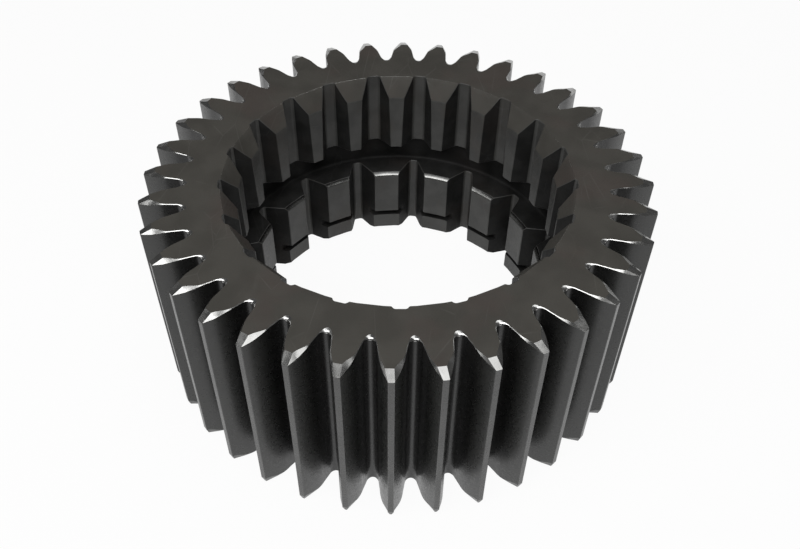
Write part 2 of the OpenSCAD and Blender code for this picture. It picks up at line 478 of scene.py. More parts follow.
    def bevel_surface(self, name: End) -> Surface:
        """Returns the surface of an end's bevels: bare above, and below the flanks' surface, dark with its
        painted shade.
        """
        return Surface.BEVEL if name is End.UPPER else Surface.FLANK

    def add_flank_bevel(self, shell: Shell, side: ToothSide, name: End, mirror: bool) -> None:
        """Adds the bevel along one side of each tooth at one end.

        Across the bevel, a point moves from the wall to the bevel's edge in a straight line. At the bottom
        of the space it follows a quarter of an ellipse instead, which rounds the bevel there.

        Args:
            shell: Shell to add to.
            side: Side of the tooth.
            name: End of the gear.
            mirror: Whether the side is the tooth's second one, across its middle.
        """
        share = np.linspace(0.0, 1.0, self.bevel_rows)[:, None]
        inwards = blend(share, 1.0 - np.cos(QUARTER_TURN * share), side.bulge)
        upwards = blend(share, np.sin(QUARTER_TURN * share), side.bulge)
        plan = blend(side.wall, side.edge[name], inwards) * np.exp(-1j * self.half_pitch)
        depth = blend(side.wall_depth[name], side.edge_depth[name], upwards)
        plan = plan.conj() if mirror else plan
        k = side.crest[name]
        low = self.round_points - 1
        for part in (slice(0, low + 1), slice(low, k + 1), slice(k, None)):
            shell.add_grid(turned(plan[:, part], self.count, 0.0), self.level(name, depth[:, part]),
                           self.bevel_surface(name))

    def add_tip_bevel(self, shell: Shell, slim: ToothSide, wide: ToothSide, wall: np.ndarray,
                      name: End) -> np.ndarray:
        """Adds the facet on each tooth's tip at one end, a piece of a cone about the gear's axis.

        Its two sides are the lines where the flank bevels end, and points across it share out the angle
        between those lines as the points on the tip do.

        Args:
            shell: Shell to add to.
            slim: Side with the slim bevel.
            wide: Side with the wide bevel.
            wall: Plan points of the whole tooth's wall, from space to space.
            name: End of the gear.

        Returns:
            The rim of one tooth on the end face, from space to space.
        """
        end = self.ends[name]
        back = np.exp(-1j * self.half_pitch)
        k = slim.crest[name]
        left = slim.edge[name] * back
        right = (wide.edge[name] * back).conj()
        tip = wall[len(slim.wall) - 1:len(wall) - len(wide.wall) + 1]
        across = (np.angle(tip) - np.angle(tip[0])) / (np.angle(tip[-1]) - np.angle(tip[0]))
        cone_r = self.tip_r - end.tip_run
        left_share = (abs(left[k:]) - cone_r) / (abs(left[-1]) - cone_r)
        right_share = (abs(right[k:]) - cone_r) / (abs(right[-1]) - cone_r)
        share = blend(left_share[:, None], right_share[:, None], across)
        radius = blend(cone_r, abs(tip), share)
        top_angle = blend(np.angle(left[k]), np.angle(right[k]), across)
        plan = polar(radius, blend(top_angle, np.angle(tip), share))
        depth = (radius - cone_r) / end.tip_run * end.tip_drop
        shell.add_grid(turned(plan, self.count, 0.0), self.level(name, depth), self.bevel_surface(name))
        return np.concatenate([left[:k], plan[0], right[:k][::-1]])


@dataclass
class InnerBand:
    """A band of straight-sided internal teeth, with a lead-in cone on the tips' upper ends.

    A band with a lip has a ring groove through its tips near the lower face, and below it the lip, which
    ends on the face in a bevel.
    """

    count: int
    phase: float
    tip_r: float
    root_r: float
    space_w: float
    land_w: float
    land_end_w: float
    top_z: float
    end_z: float
    lead_r: float
    lead_depth: float
    lead_surface: Surface
    arc_surface: Surface
    lip_r: float | None = None
    lip_z: float = 0.0
    lip_run: float = 0.0
    lip_drop: float = 0.0
    ring_r: float = 0.0
    ring_z: float = 0.0
    fillet: float = 0.6
    fillet_reach: float = 1.2
    edge: float = 0.2
    flank_points: int = 6
    wall_rows: int = 5

    def __post_init__(self) -> None:
        """Works out the angles and the radii of the columns up each flank."""
        self.half_pitch = math.pi / self.count
        self.foot = complex(math.sqrt(self.root_r**2 - self.space_w**2 / 4), self.space_w / 2)
        lead = [self.lead_r + self.edge / 2, self.lead_r - self.edge / 2]
        ends = [self.ring_r, self.lip_r + self.lip_run, self.lip_r] if self.lip_r else []
        start = self.root_r - self.fillet_reach * self.fillet
        stops = sorted({start, *lead, *ends, self.tip_r + self.edge}, reverse=True)
        pieces = [np.linspace(a, b, self.flank_points if a - b > 2 * self.edge else 2)[:-1]
                  for a, b in zip(stops, stops[1:])]
        self.radii = np.concatenate(pieces + [np.array(stops[-1:])])
        self.columns = FOOT_COLUMNS + len(self.radii) + TIP_COLUMNS
        self.corner = self.columns - TIP_COLUMNS - 1

    def column(self, radius: float) -> int:
        """Returns the index, in one side's columns, of the flank column at a radius."""
        return FOOT_COLUMNS + int(np.argmin(abs(self.radii - radius)))

    def top(self, radius: np.ndarray) -> np.ndarray:
        """Works out where the band ends upwards: on the lead-in cone near the tips, then on the face.

        Args:
            radius: Radii in mm.

        Returns:
            The height in mm at each radius.
        """
        low = self.top_z - self.lead_depth
        slope = self.lead_depth / (self.lead_r - self.tip_r)
        near = self.lead_r - self.edge / 2
        return np.interp(radius, [self.tip_r, near, self.lead_r + self.edge / 2],
                         [low, low + slope * (near - self.tip_r), self.top_z])

    def bottom(self, radius: np.ndarray) -> np.ndarray:
        """Returns the height at which the lip ends downwards, at each radius: its bevel, then the face."""
        return np.interp(radius, [self.lip_r, self.lip_r + self.lip_run], [self.lip_drop, 0.0])

    def side(self, z: np.ndarray) -> np.ndarray:
        """Works out one side of a space along +X, at a height for each point or for all of them.

        The columns are two on the flat bottom, three round the fillet, those up the flank, and two at the
        tooth's corner and one on its tip. A flank point at a given radius lies on the straight line from
        the foot to the mouth, at the nearer root of the quadratic for that radius. The mouth turns with
        height, because the tip's width changes evenly from the cone's end to the band's end.

        Args:
            z: Heights, an array whose last axis has one entry, or one for each column.

        Returns:
            The plan points, with the columns along the last axis.
        """
        z = np.broadcast_to(z, z.shape[:-1] + (self.columns,))
        down = (self.top_z - self.lead_depth - z) / (self.top_z - self.lead_depth - self.end_z)
        land = blend(self.land_w, self.land_end_w, down)
        mouth = polar(self.tip_r, self.half_pitch - np.arcsin(land / 2 / self.tip_r))
        run = mouth - self.foot
        start = abs(run) ** 2
        half = (np.conj(self.foot) * run).real
        radius = np.concatenate([np.full(FOOT_COLUMNS, self.root_r), self.radii,
                                 np.full(TIP_COLUMNS, self.tip_r)])
        rest = abs(self.foot) ** 2 - radius**2
        share = (-half - np.sqrt(np.maximum(half**2 - start * rest, 0.0))) / start
        plan = self.foot + run * share
        begin = plan[..., FOOT_COLUMNS]
        flat = self.foot - 1j * self.fillet
        plan[..., 0] = self.foot.real
        plan[..., 1] = flat
        for k, t in ((2, 0.25), (3, 0.5), (4, 0.75)):
            plan[..., k] = (1 - t) ** 2 * flat + 2 * t * (1 - t) * self.foot + t**2 * begin
        corner = mouth[..., 0] * np.exp(1j * self.edge / self.tip_r)
        plan[..., -2] = corner
        plan[..., -1] = polar(self.tip_r, (2 * np.angle(corner) + self.half_pitch) / 3)
        return plan

    def into_steel(self, plan: np.ndarray, amount: float) -> np.ndarray:
        """Moves one side's points into the steel: outwards at the bottom and the tip, round at the flank."""
        turn = np.concatenate([[0, 0, 0.25, 0.5, 0.75], np.ones(len(self.radii) - 1), [0.7, 0.3, 0.0]])
        return plan * (1 + (1 - turn) * amount / abs(plan)) * np.exp(1j * turn * amount / abs(plan))

    def both(self, side: np.ndarray) -> np.ndarray:
        """Returns a whole tooth, centred on +X, from one side of a space and its mirror image."""
        left = side * np.exp(-1j * self.half_pitch)
        return np.concatenate([left, left.conj()[..., ::-1]], axis=-1)

    def across(self, rows: np.ndarray, tip_row: np.ndarray) -> np.ndarray:
        """Fills in a patch across a tooth, from the tip out along its two sides.

        Args:
            rows: Left side's points of each row, the tip's row first.
            tip_row: All points of the tip's row.

        Returns:
            A grid of points whose rows share out the angle between the sides as the tip's row does.
        """
        angle = np.angle(tip_row)
        share = (angle - angle[0]) / (angle[-1] - angle[0])
        sides = np.angle(rows)[:, None]
        plan = polar(abs(rows)[:, None], blend(sides, -sides, share))
        plan[0] = tip_row
        return plan

    def add(self, shell: Shell, plan: np.ndarray, height: np.ndarray, surface: Surface) -> None:
        """Adds a grid on every tooth."""
        shell.add_grid(turned(plan, self.count, self.phase + self.half_pitch), height, surface)

    def add_walls(self, shell: Shell, plan: np.ndarray, height: np.ndarray, last: int) -> None:
        """Adds both walls beside each tooth, from the middle of the space to a column.

        Args:
            shell: Shell to add to.
            plan: Rows of one side's columns.
            height: Heights of the same points.
            last: Last column to take in.
        """
        left = plan * np.exp(-1j * self.half_pitch)
        height = np.broadcast_to(height, left.shape)
        for start, stop, surface in ((0, 2, Surface.TOOTH), (1, FOOT_COLUMNS + 1, Surface.TOOTH),
                                     (FOOT_COLUMNS, last + 1, Surface.BORE_SHADE)):
            part = slice(start, min(stop, last + 1))
            for wall in (left, left.conj()):
                self.add(shell, wall[:, part], height[:, part], surface)

    def build(self, shell: Shell) -> tuple[np.ndarray, np.ndarray]:
        """Adds the band's walls, tips and lead-in cones to the shell.

        Args:
            shell: Shell to add to.

        Returns:
            The upper and the lower rim of the band as closed loops of plan points.
        """
        n, corner = self.columns, self.corner
        first = self.side(np.array([[self.top_z]]))
        top_edge = self.top(abs(first))
        first = self.side(top_edge)
        rim = self.into_steel(first, self.edge)
        rim_z = self.top(abs(rim))
        wall_top = np.minimum(top_edge, self.top(abs(first))) - self.edge
        low_z = self.end_z if self.lip_r is None else self.ring_z
        low = low_z + (self.edge if self.lip_r is None else 0.0)
        heights = blend(wall_top, low, np.linspace(0.0, 1.0, self.wall_rows)[:, None])
        walls = self.side(heights)

        self.add_walls(shell, walls, heights, corner)
        tooth = self.both(walls)
        tooth_z = np.concatenate([heights, heights[:, ::-1]], axis=-1)
        for part in (slice(corner, corner + 2), slice(corner + 1, 2 * n - corner - 1),
                     slice(2 * n - corner - 2, 2 * n - corner)):
            self.add(shell, tooth[:, part], tooth_z[:, part], Surface.TOOTH)

        strip = np.concatenate([walls[:1], rim])
        strip_z = np.concatenate([wall_top, rim_z])
        whole, whole_z = self.both(strip), np.concatenate([strip_z, strip_z[:, ::-1]], axis=-1)
        self.add(shell, whole, whole_z, Surface.TOOTH)

        rim_left = rim[0] * np.exp(-1j * self.half_pitch)
        outer = self.column(self.lead_r + self.edge / 2)
        tip_row = self.both(rim)[0, corner:2 * n - corner]
        cone = self.across(rim_left[outer:corner + 1][::-1], tip_row)
        inner = len(cone) - 1
        self.add(shell, cone[:inner], self.top(abs(cone[:inner])), self.lead_surface)
        self.add(shell, cone[inner - 1:], self.top(abs(cone[inner - 1:])), self.arc_surface)
        upper = np.concatenate([rim_left[:outer], cone[-1], rim_left[:outer].conj()[::-1]])

        if self.lip_r is None:
            lower = self.close_plain(shell, walls[-1:], low)
        else:
            lower = self.close_with_lip(shell, walls[-1:])
        return (turned(upper[:-1], self.count, self.phase + self.half_pitch).reshape(-1),
                turned(lower[:-1], self.count, self.phase + self.half_pitch).reshape(-1))

    def close_plain(self, shell: Shell, foot: np.ndarray, low: float) -> np.ndarray:
        """Ends the band downwards with a small bevel all round.

        Args:
            shell: Shell to add to.
            foot: One side's points at the lower end of the walls, as one row.
            low: Height of those points in mm.

        Returns:
            The lower rim of one tooth, from space to space.
        """
        rim = self.into_steel(self.side(np.array([[self.end_z]])), self.edge)
        strip = self.both(np.concatenate([foot, rim]))
        self.add(shell, strip, np.array([[low], [self.end_z]]), Surface.TOOTH)
        return strip[1]

    def close_with_lip(self, shell: Shell, foot: np.ndarray) -> np.ndarray:
        """Ends the band downwards with the retaining ring's groove and the lip below it.

        Args:
            shell: Shell to add to.
            foot: One side's points at the lower end of the walls, as one row.

        Returns:
            The lower rim of one tooth, from space to space.
        """
        n, corner = self.columns, self.corner
        ring, lip, out = (self.column(r) for r in (self.ring_r, self.lip_r, self.lip_r + self.lip_run))
        left = foot[0] * np.exp(-1j * self.half_pitch)
        roof = self.across(left[ring:corner + 1][::-1], self.both(foot)[0, corner:2 * n - corner])
        self.add(shell, roof, np.array(self.ring_z), Surface.BORE_SHADE)
        back = np.stack([roof[-1], roof[-1]])
        self.add(shell, back, np.array([[self.ring_z], [self.lip_z]]), Surface.BORE_SHADE)
        ledge = self.across(left[ring:lip + 1], roof[-1])
        land = ledge[-1]
        self.add(shell, ledge, np.array(self.lip_z), Surface.BORE_SHADE)
        low = self.lip_drop + self.edge
        self.add(shell, np.stack([land, land]), np.array([[self.lip_z], [low]]), Surface.TOOTH)
        plan = np.concatenate([foot, foot])
        self.add_walls(shell, plan, np.array([[self.ring_z], [self.lip_z]]), ring)
        ends = self.bottom(abs(foot[0])) + self.edge
        self.add_walls(shell, plan, np.stack([np.full(n, self.lip_z), ends]), lip)

        rim = self.into_steel(foot, self.edge)[0] * np.exp(-1j * self.half_pitch)
        tip = np.concatenate([rim[lip:lip + 1], land[1:-1], rim[lip:lip + 1].conj()])
        tip = tip * (1 + self.edge / self.lip_r)
        outer = np.concatenate([rim[:lip], tip, rim[:lip].conj()[::-1]])
        wall = np.concatenate([left[:lip], land, left[:lip].conj()[::-1]])
        wall_z = self.bottom(abs(wall)) + self.edge
        self.add(shell, np.stack([wall, outer]), np.stack([wall_z, self.bottom(abs(outer))]), Surface.TOOTH)
        cone = self.across(outer[out:lip + 1][::-1], tip)
        self.add(shell, cone, self.bottom(abs(cone)), Surface.FACE)
        return np.concatenate([rim[:out], cone[-1], rim[:out].conj()[::-1]])


@dataclass
class Gear:
    """The whole gear: outer teeth, end faces, clutch band, relief groove and spline band."""

    teeth: OuterTeeth = field(default_factory=OuterTeeth)
    height: float = 68.2
    clutch_end_z: float = 40.4
    spline_top_z: float = 29.2
    relief_r: float = 59.2
    relief_round: float = 1.0
    relief_points: int = 6
    inner_circle_r: float = 58.0

    def __post_init__(self) -> None:
        """Places the two inner bands between the gear's faces and its relief groove."""
        self.clutch = InnerBand(
            count=21, phase=math.radians(-2.4), tip_r=50.6, root_r=56.0, space_w=3.8, land_w=5.3,
            land_end_w=3.8, top_z=self.height, end_z=self.clutch_end_z, lead_r=55.2, lead_depth=6.2,
            lead_surface=Surface.FACE, arc_surface=Surface.BEVEL)
        self.spline = InnerBand(
            count=16, phase=math.radians(-5.1), tip_r=48.8, root_r=57.0, space_w=2.8, land_w=8.9,
            land_end_w=8.9, top_z=self.spline_top_z, end_z=0.0, lead_r=50.0, lead_depth=1.2,
            lead_surface=Surface.EDGE, arc_surface=Surface.TOOTH,
            lip_r=49.8, lip_z=7.4, lip_run=2.2, lip_drop=1.1, ring_r=52.4, ring_z=10.3)

    def build(self) -> bpy.types.Object:
        """Builds the gear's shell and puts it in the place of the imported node.

        Returns:
            The gear.
        """
        shell = Shell()
        circles = self.teeth.build(shell)
        clutch_top, clutch_end = self.clutch.build(shell)
        spline_top, spline_end = self.spline.build(shell)
        upper = shell.add_skirt(clutch_top, self.inner_circle_r, self.height, Surface.FACE)
        lower = shell.add_skirt(spline_end, self.inner_circle_r, 0.0, Surface.FACE)
        shell.add_zip(circles[End.UPPER], upper, self.height, self.height, Surface.FACE)
        shell.add_zip(circles[End.LOWER], lower, 0.0, 0.0, Surface.FACE)
        inner = self.relief_r - self.relief_round
        roof = shell.add_skirt(clutch_end, inner, self.clutch_end_z, Surface.BORE_SHADE)
        floor = shell.add_skirt(spline_top, inner, self.spline_top_z, Surface.BORE_SHADE)
        turn = np.linspace(0.0, QUARTER_TURN, self.relief_points)
        radii = inner + self.relief_round * np.sin(turn)
        rise = self.relief_round * (1 - np.cos(turn))
        roof = shell.add_turned(roof, radii, self.clutch_end_z - rise, Surface.BORE_SHADE)
        floor = shell.add_turned(floor, radii, self.spline_top_z + rise, Surface.BORE_SHADE)
        shell.add_zip(roof, floor, self.clutch_end_z - rise[-1], self.spline_top_z + rise[-1], Surface.BORE_SHADE)
        gear = shell.build("gear_shell")
        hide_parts("input_shaft_gear")
        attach(gear, "root")
        return gear


class Graph:
    """A node tree with short calls to add nodes and links."""

    def __init__(self, tree: bpy.types.NodeTree) -> None:
        """Takes the tree and empties it."""
        self.tree = tree
        tree.nodes.clear()

    def add(self, kind: str, settings: dict | None = None, **inputs: object) -> bpy.types.Node:
        """Adds a node.

        Args:
            kind: Name of the node's type.
            settings: Values of the node's own properties.
            **inputs: Sockets to link from or values to set, by input name with _ for each space.

        Returns:
            The node.
        """
        node = self.tree.nodes.new(kind)
        for name, value in (settings or {}).items():
            setattr(node, name, value)
        for name, value in inputs.items():
            self.feed(node.inputs[name.replace("_", " ")], value)
        return node

    def feed(self, socket: bpy.types.NodeSocket, value: object) -> None:
        """Links a socket from another one, or sets its value.

        Args:
            socket: Input to feed.
            value: Output to link from, or a plain value.
        """
        if isinstance(value, bpy.types.NodeSocket):
            self.tree.links.new(value, socket)
        else:
            socket.default_value = value

    def combine(self, operation: str, first: object, second: object) -> bpy.types.NodeSocket:
        """Adds a Math node.

        Args:
            operation: Name of its operation.
            first: Its first value or the output to link it from.
            second: The same for its second value.

        Returns:
            The result.
        """
        node = self.add("ShaderNodeMath", {"operation": operation})
        self.feed(node.inputs[0], first)
        self.feed(node.inputs[1], second)
        return node.outputs[0]

    def span(self, value: object, low: object, high: object, to_low: object = 0.0,
             to_high: object = 1.0) -> bpy.types.NodeSocket:
        """Moves a value smoothly from one range to another, and holds it inside.

        Args:
            value: Value to move.
            low: Where the first range starts.
            high: Where it ends.
            to_low: Where the second range starts.
            to_high: Where it ends.

        Returns:
            The moved value.
        """
        node = self.add("ShaderNodeMapRange", {"interpolation_type": "SMOOTHSTEP"}, Value=value,
                        From_Min=low, From_Max=high, To_Min=to_low, To_Max=to_high)
        return node.outputs["Result"]

    def mix(self, share: object, first: object, second: object) -> bpy.types.NodeSocket:
        """Mixes two colours.

        Args:
            share: Share of the second colour.
            first: First colour.
            second: Second colour.

        Returns:
            The mixed colour.
        """
        node = self.add("ShaderNodeMix", {"data_type": "RGBA"})
        for index, value in zip(MIX_INPUTS, (share, first, second)):
            self.feed(node.inputs[index], value)
        return node.outputs[MIX_OUTPUT]

    def noise(self, place: object, scale: object, detail: float,
              roughness: float = 0.5) -> bpy.types.NodeSocket:
        """Adds a noise texture.

        Args:
            place: Coordinates.
            scale: Scale per metre.
            detail: Number of finer layers.
            roughness: Strength of the finer layers.

        Returns:
            A value from 0 to 1.
        """
        node = self.add("ShaderNodeTexNoise", None, Vector=place, Scale=scale, Detail=detail,
                        Roughness=roughness)
        return node.outputs["Fac"]

    def use(self, group: bpy.types.NodeTree, **inputs: object) -> bpy.types.Node:
        """Places a shader node group with its own values."""
        return self.add("ShaderNodeGroup", {"node_tree": group}, **inputs)


def new_group(name: str, inputs: dict[str, object],
              outputs: dict[str, str]) -> tuple[Graph, dict, bpy.types.Node]:
    """Starts a shader node group.

    Args:
        name: Name of the group.
        inputs: Default of each input: a number, or a colour of four numbers.
        outputs: Kind of each output: Float, Color or Vector.

    Returns:
        The group's graph, its inputs' sockets by name, and its output node.
    """
    tree = bpy.data.node_groups.new(name, "ShaderNodeTree")
    for title, default in inputs.items():
        kind = "NodeSocketFloat" if isinstance(default, float) else "NodeSocketColor"
        tree.interface.new_socket(title, in_out="INPUT", socket_type=kind).default_value = default
    for title, kind in outputs.items():
        tree.interface.new_socket(title, in_out="OUTPUT", socket_type="NodeSocket" + kind)
    graph = Graph(tree)
    entry = graph.add("NodeGroupInput")
    leave = graph.add("NodeGroupOutput")
    return graph, {socket.name: socket for socket in entry.outputs}, leave


def coat_group() -> bpy.types.NodeTree:
    """Makes the group for a patchy coat: two tones, stains, and a fine grain in height and roughness.

    Returns:
        The group.
    """
    graph, given, leave = new_group(
        "patchy_coat",
        {"Dark": (0.03, 0.03, 0.03, 1.0), "Light": (0.05, 0.05, 0.05, 1.0),
         "Stain": (0.06, 0.04, 0.04, 1.0), "Patch scale": 120.0, "Stain share": 0.5,
         "Grain scale": 1500.0, "Rough low": 0.35, "Rough high": 0.5},
        {"Colour": "Color", "Roughness": "Float", "Height": "Float"})
    place = graph.add("ShaderNodeTexCoord").outputs["Object"]
    patches = graph.noise(place, given["Patch scale"], detail=2.5)
    tones = graph.mix(graph.span(patches, low=0.36, high=0.64), given["Dark"], given["Light"])
    stain_scale = graph.combine("MULTIPLY", given["Patch scale"], 0.45)
    stains = graph.noise(place, stain_scale, detail=3.0, roughness=0.6)
    stained = graph.combine("MULTIPLY", graph.span(stains, low=0.5, high=0.68), given["Stain share"])
    grain = graph.noise(place, given["Grain scale"], detail=1.0)
    graph.feed(leave.inputs["Colour"], graph.mix(stained, tones, given["Stain"]))
    roughness = graph.span(grain, low=0.3, high=0.7, to_low=given["Rough low"], to_high=given["Rough high"])
    graph.feed(leave.inputs["Roughness"], roughness)
    graph.feed(leave.inputs["Height"], grain)
    return graph.tree


def scratch_group() -> bpy.types.NodeTree:
    """Makes the group for fine scratches: thin cell borders of two long, crossing patterns.

    Returns:
        The group.
    """
    graph, given, leave = new_group("fine_scratches", {"Scale": 60.0, "Width": 0.01}, {"Mask": "Float"})
    place = graph.add("ShaderNodeTexCoord").outputs["Object"]
    masks = []
    for turn, stretch in ((0.5, (1.0, 0.3, 1.0)), (-0.7, (1.0, 0.45, 1.0))):
        moved = graph.add("ShaderNodeMapping", None, Vector=place, Rotation=(0.0, 0.0, turn), Scale=stretch)
        cells = graph.add("ShaderNodeTexVoronoi", {"feature": "DISTANCE_TO_EDGE"},
                          Vector=moved.outputs["Vector"], Scale=given["Scale"])
        line = graph.span(cells.outputs["Distance"], low=0.0, high=given["Width"], to_low=1.0, to_high=0.0)
        gaps = graph.noise(moved.outputs["Vector"], given["Scale"], detail=2.0)
        broken = graph.span(gaps, low=0.5, high=0.66)
        masks.append(graph.combine("MULTIPLY", line, broken))
    graph.feed(leave.inputs["Mask"], graph.combine("MAXIMUM", *masks))
    return graph.tree


def radius_group() -> bpy.types.NodeTree:
    """Makes the group that gives how far a point lies between two radii from the gear's axis.

    Returns:
        The group.
    """
    graph, given, leave = new_group("radius_share", {"From": 0.07, "To": 0.08}, {"Share": "Float"})
    place = graph.add("ShaderNodeTexCoord").outputs["Object"]
    flat = graph.add("ShaderNodeVectorMath", {"operation": "MULTIPLY"})
    graph.feed(flat.inputs[0], place)
    graph.feed(flat.inputs[1], (1.0, 1.0, 0.0))
    length = graph.add("ShaderNodeVectorMath", {"operation": "LENGTH"})
    graph.feed(length.inputs[0], flat.outputs["Vector"])
    graph.feed(leave.inputs["Share"], graph.span(length.outputs["Value"], given["From"], given["To"]))
    return graph.tree


@dataclass(frozen=True)
class SteelFinish:
    """How one kind of surface looks.

    Colours are linear, scales are per metre and heights are in metres. The outer tone, where there is one,
    takes over outwards from one radius to another; on the flanks it is partly wear and partly painted light,
    which leaves painted shade towards the roots.
    """

    dark: Colour
    light: Colour
    stain: Colour
    patch_scale: float
    grain_scale: float
    grain_height: float
    rough_low: float
    rough_high: float
    scratch: Colour
    scratch_share: float
    stain_share: float = 0.4
    metallic: float = 0.0
    specular: float = 0.5
    scratch_scale: float = 95.0
    scratch_width: float = 0.014
    outer_tone: Colour | None = None
    outer_from: float = 0.07
    outer_to: float = 0.08
    outer_share: float = 1.0


FINISHES = {
    Surface.FACE: SteelFinish(
        dark=(0.05, 0.0475, 0.042), light=(0.06, 0.057, 0.0505), stain=(0.062, 0.05, 0.045),
        stain_share=0.5, patch_scale=90.0, grain_scale=1600.0, grain_height=0.00003, rough_low=0.5,
        rough_high=0.64, specular=0.12, scratch=(0.1, 0.098, 0.09), scratch_share=0.35),
    # Painted shade: the flanks get a near-black copy of the steel's tone. Their lighter outer tone towards
    # the tips is partly wear and partly painted light, so the roots stay in painted shade.
    Surface.FLANK: SteelFinish(
        dark=(0.006, 0.006, 0.0058), light=(0.009, 0.009, 0.0087), stain=(0.012, 0.01, 0.0095),
        patch_scale=140.0, grain_scale=1200.0, grain_height=0.00001, rough_low=0.27, rough_high=0.37,
        scratch=(0.03, 0.03, 0.03), scratch_share=0.15,
        outer_tone=(0.025, 0.0255, 0.024), outer_from=0.0695, outer_to=0.079),
    Surface.LAND: SteelFinish(
        dark=(0.038, 0.038, 0.037), light=(0.05, 0.05, 0.0485), stain=(0.045, 0.0425, 0.041),
        patch_scale=120.0, grain_scale=900.0, grain_height=0.000002, rough_low=0.26, rough_high=0.3,
        specular=0.6, scratch=(0.12, 0.12, 0.12), scratch_share=0.15),
    Surface.BEVEL: SteelFinish(
        dark=(0.38, 0.38, 0.373), light=(0.54, 0.54, 0.53), stain=(0.33, 0.325, 0.313),
        patch_scale=300.0, grain_scale=300.0, grain_height=0.00006, rough_low=0.2, rough_high=0.3,
        metallic=1.0, scratch=(0.45, 0.45, 0.45), scratch_share=0.4,
        outer_tone=(0.36, 0.36, 0.352), outer_from=0.0685, outer_to=0.074, outer_share=0.9),
    Surface.EDGE: SteelFinish(
        dark=(0.15, 0.15, 0.146), light=(0.28, 0.28, 0.272), stain=(0.1, 0.1, 0.097), stain_share=0.7,
        patch_scale=90.0, grain_scale=900.0, grain_height=0.000002, rough_low=0.2, rough_high=0.3,
        metallic=0.9, scratch=(0.4, 0.4, 0.4), scratch_share=0.2,
        outer_tone=(0.04, 0.04, 0.039), outer_from=0.049, outer_to=0.0497),
    Surface.TOOTH: SteelFinish(
        dark=(0.042, 0.042, 0.040), light=(0.058, 0.058, 0.055), stain=(0.05, 0.044, 0.038),
        patch_scale=130.0, grain_scale=1600.0, grain_height=0.00003, rough_low=0.38, rough_high=0.5,
        specular=0.3, scratch=(0.1, 0.1, 0.1), scratch_share=0.25),
    # Painted shade: a near-black copy of the tooth steel for the bore's walls, grooves and ledge, where
    # shadow falls.
    Surface.BORE_SHADE: SteelFinish(
        dark=(0.012, 0.012, 0.0116), light=(0.02, 0.02, 0.0195), stain=(0.024, 0.02, 0.018),
        patch_scale=130.0, grain_scale=1600.0, grain_height=0.00003, rough_low=0.5, rough_high=0.62,
        specular=0.1, scratch=(0.05, 0.05, 0.05), scratch_share=0.25),
}


class SteelShop:
    """Makes the gear's materials from its finishes and three shared groups."""

    def __init__(self) -> None:
        """Builds the shared groups once."""
        self.coat = coat_group()
        self.scratches = scratch_group()
        self.radius = radius_group()

    def make(self, surface: Surface, finish: SteelFinish) -> bpy.types.Material:
        """Makes the material of one kind of surface.

        Args:
            surface: Kind of surface.
            finish: How it looks.

        Returns:
            The material.
        """
        material = bpy.data.materials.new("steel_" + surface.name.lower())
        material.use_nodes = True
        graph = Graph(material.node_tree)
        coat = graph.use(self.coat, Dark=(*finish.dark, 1.0), Light=(*finish.light, 1.0),
                         Stain=(*finish.stain, 1.0), Patch_scale=finish.patch_scale,
                         Stain_share=finish.stain_share, Grain_scale=finish.grain_scale,
                         Rough_low=finish.rough_low, Rough_high=finish.rough_high)
        colour = coat.outputs["Colour"]
        # The outer tone takes over outwards between two radii; on the flanks it is partly wear and partly
        # painted light.
        if finish.outer_tone:
            outer_tone = graph.use(self.radius, From=finish.outer_from, To=finish.outer_to)
            share = graph.combine("MULTIPLY", outer_tone.outputs["Share"], finish.outer_share)
            colour = graph.mix(share, colour, (*finish.outer_tone, 1.0))
        scratches = graph.use(self.scratches, Scale=finish.scratch_scale, Width=finish.scratch_width)
        share = graph.combine("MULTIPLY", scratches.outputs["Mask"], finish.scratch_share)
        colour = graph.mix(share, colour, (*finish.scratch, 1.0))
        bump = graph.add("ShaderNodeBump", None, Strength=1.0, Distance=finish.grain_height,
                         Height=coat.outputs["Height"])
        shader = graph.add("ShaderNodeBsdfPrincipled", None, Base_Color=colour, Metallic=finish.metallic,
                           Roughness=coat.outputs["Roughness"], Specular_IOR_Level=finish.specular,
                           Normal=bump.outputs["Normal"])
        graph.add("ShaderNodeOutputMaterial", None, Surface=shader.outputs["BSDF"])
        return material

    def dress(self, gear: bpy.types.Object) -> None:
        """Gives the gear one material for each kind of surface, in the order of their indices."""
        for surface in Surface:
            gear.data.materials.append(self.make(surface, FINISHES[surface]))


@dataclass(frozen=True)
class Softbox:
    """A soft light that points at the gear: its place and size in metres, and its power in watts."""

    name: str
    at: tuple[float, float, float]
    wide: float
    high: float
    power: float


